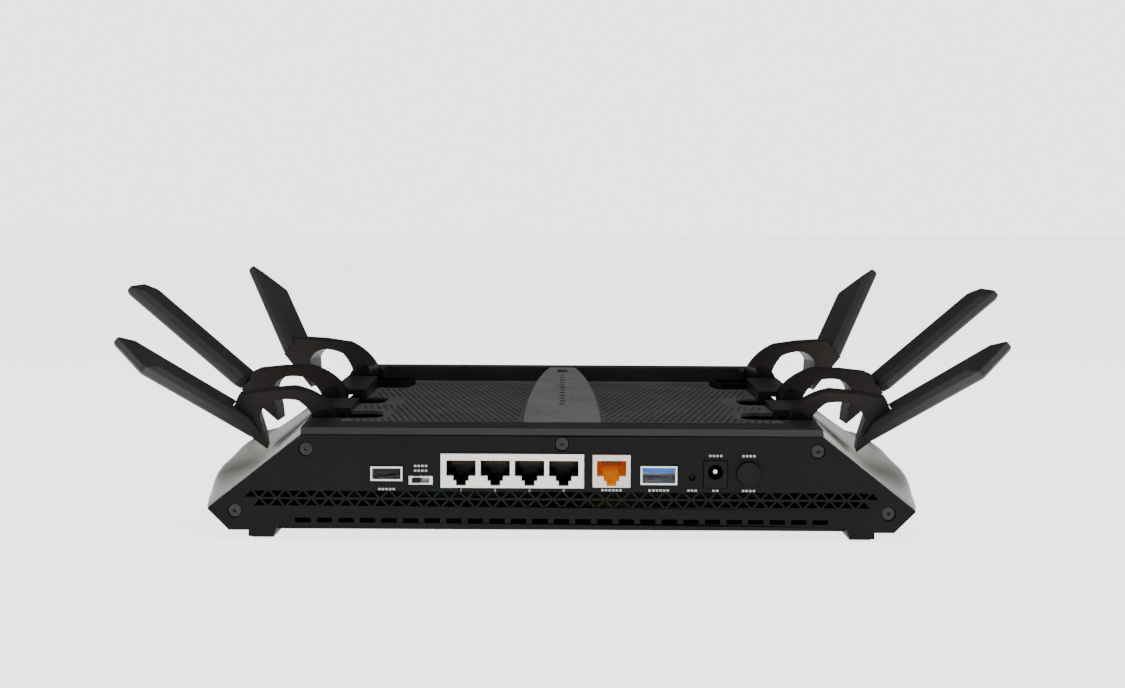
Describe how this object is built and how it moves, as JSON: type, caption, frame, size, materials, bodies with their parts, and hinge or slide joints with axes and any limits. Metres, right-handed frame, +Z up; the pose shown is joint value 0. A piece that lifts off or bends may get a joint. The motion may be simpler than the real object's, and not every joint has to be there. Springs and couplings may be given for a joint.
{
  "type": "wireless router",
  "caption": "Low wedge-sided wireless router with perforated top deck, sockets and controls on the back panel, and folding paddle antennas along both sides.",
  "frame": {"origin": "on the table plane, under the middle of the model with its antennas out", "axes": "+X to the right when looking at the port panel, -Y towards the port panel, +Z up"},
  "size_m": [0.4112, 0.2675, 0.11],
  "materials": {
    "shell_black": "fine matt texture",
    "deck_black": "fine matt texture, perforated",
    "gloss_black": "polished",
    "silver_grey": "satin silver grey",
    "arm_brown": "semi gloss brown black",
    "blade_grey": "matt",
    "bar_grey": "semi gloss",
    "jack_white": "moulded cream white",
    "plated_steel": "nickel plated",
    "dark_steel": "black zinc",
    "aluminium": "extruded",
    "board_green": "solder mask",
    "rubber_black": "soft",
    "tongue_blue": "moulded",
    "tongue_black": "moulded"
  },
  "bodies": {
    "router": {"bottom_shell": "shell_black", "dc_jack": "shell_black", "dc_jack_pin": "plated_steel", "deck_grille": "deck_black", "foot_front_left": "rubber_black", "foot_front_right": "rubber_black", "foot_rear_left": "rubber_black", "foot_rear_right": "rubber_black", "front_bezel": "gloss_black", "heat_sink": "aluminium", "hinge_cradle_left_front": "shell_black", "hinge_cradle_left_middle": "shell_black", "hinge_cradle_left_rear": "shell_black", "hinge_cradle_right_front": "shell_black", "hinge_cradle_right_middle": "shell_black", "hinge_cradle_right_rear": "shell_black", "hinge_pin_left_front": "dark_steel", "hinge_pin_left_middle": "dark_steel", "hinge_pin_left_rear": "dark_steel", "hinge_pin_right_front": "dark_steel", "hinge_pin_right_middle": "dark_steel", "hinge_pin_right_rear": "dark_steel", "lan_jack_block": "jack_white", "led_switch_body": "jack_white", "light_bar": "bar_grey", "light_board": "board_green", "main_board": "board_green", "power_switch": "shell_black", "rear_panel": "shell_black", "reset_switch": "shell_black", "screw_lower_left": "dark_steel", "screw_lower_right": "dark_steel", "screw_top_centre": "dark_steel", "screw_upper_left": "dark_steel", "screw_upper_right": "dark_steel", "side_panel_left": "silver_grey", "side_panel_right": "silver_grey", "top_frame": "gloss_black", "usb2_socket": "plated_steel", "usb2_tongue": "tongue_black", "usb3_socket": "plated_steel", "usb3_tongue": "tongue_blue", "wan_jack": "jack_white"},
    "antenna_left_rear": {"antenna_arm_left_rear": "arm_brown", "antenna_blade_left_rear": "blade_grey"},
    "antenna_right_rear": {"antenna_arm_right_rear": "arm_brown", "antenna_blade_right_rear": "blade_grey"},
    "antenna_left_middle": {"antenna_arm_left_middle": "arm_brown", "antenna_blade_left_middle": "blade_grey"},
    "antenna_right_middle": {"antenna_arm_right_middle": "arm_brown", "antenna_blade_right_middle": "blade_grey"},
    "antenna_left_front": {"antenna_arm_left_front": "arm_brown", "antenna_blade_left_front": "blade_grey"},
    "antenna_right_front": {"antenna_arm_right_front": "arm_brown", "antenna_blade_right_front": "blade_grey"},
    "power_button_body": {"power_button": "shell_black"},
    "reset_plunger_body": {"reset_plunger": "tongue_black"},
    "wifi_button_body": {"wifi_button": "shell_black"},
    "pairing_button_body": {"pairing_button": "shell_black"},
    "led_switch_slider_body": {"led_switch_slider": "shell_black"}
  },
  "joints": [
    {"name": "antenna_left_rear_fold", "type": "hinge", "parent": "router", "child": "antenna_left_rear", "pos_m": [-0.105, -0.06695, 0.045], "axis": [-0.1305, 0.9914, 0], "range_deg": [0, 140]},
    {"name": "antenna_right_rear_fold", "type": "hinge", "parent": "router", "child": "antenna_right_rear", "pos_m": [0.105, -0.06695, 0.045], "axis": [-0.1305, -0.9914, 0], "range_deg": [0, 140]},
    {"name": "antenna_left_middle_fold", "type": "hinge", "parent": "router", "child": "antenna_left_middle", "pos_m": [-0.1096, -0.00795, 0.0486], "axis": [0, 1, 0], "range_deg": [0, 138]},
    {"name": "antenna_right_middle_fold", "type": "hinge", "parent": "router", "child": "antenna_right_middle", "pos_m": [0.1096, -0.00795, 0.0486], "axis": [0, -1, 0], "range_deg": [0, 138]},
    {"name": "antenna_left_front_fold", "type": "hinge", "parent": "router", "child": "antenna_left_front", "pos_m": [-0.104, 0.06785, 0.0524], "axis": [0.1305, 0.9914, 0], "range_deg": [0, 128]},
    {"name": "antenna_right_front_fold", "type": "hinge", "parent": "router", "child": "antenna_right_front", "pos_m": [0.104, 0.06785, 0.0524], "axis": [0.1305, -0.9914, 0], "range_deg": [0, 128]},
    {"name": "power_button_press", "type": "slide", "parent": "router", "child": "power_button_body", "axis": [0, 1, 0], "range_m": [0, 0.0018], "stiffness_N_per_m": 1200, "springref_m": -0.0008},
    {"name": "reset_plunger_press", "type": "slide", "parent": "router", "child": "reset_plunger_body", "axis": [0, 1, 0], "range_m": [0, 0.001], "stiffness_N_per_m": 800, "springref_m": -0.0008},
    {"name": "wifi_button_press", "type": "slide", "parent": "router", "child": "wifi_button_body", "axis": [0, -1, 0], "range_m": [0, 0.0015], "stiffness_N_per_m": 1000, "springref_m": -0.0008},
    {"name": "pairing_button_press", "type": "slide", "parent": "router", "child": "pairing_button_body", "axis": [0, -1, 0], "range_m": [0, 0.0015], "stiffness_N_per_m": 1000, "springref_m": -0.0008},
    {"name": "led_switch_slide", "type": "slide", "parent": "router", "child": "led_switch_slider_body", "axis": [1, 0, 0], "range_m": [0, 0.0034]}
  ]
}
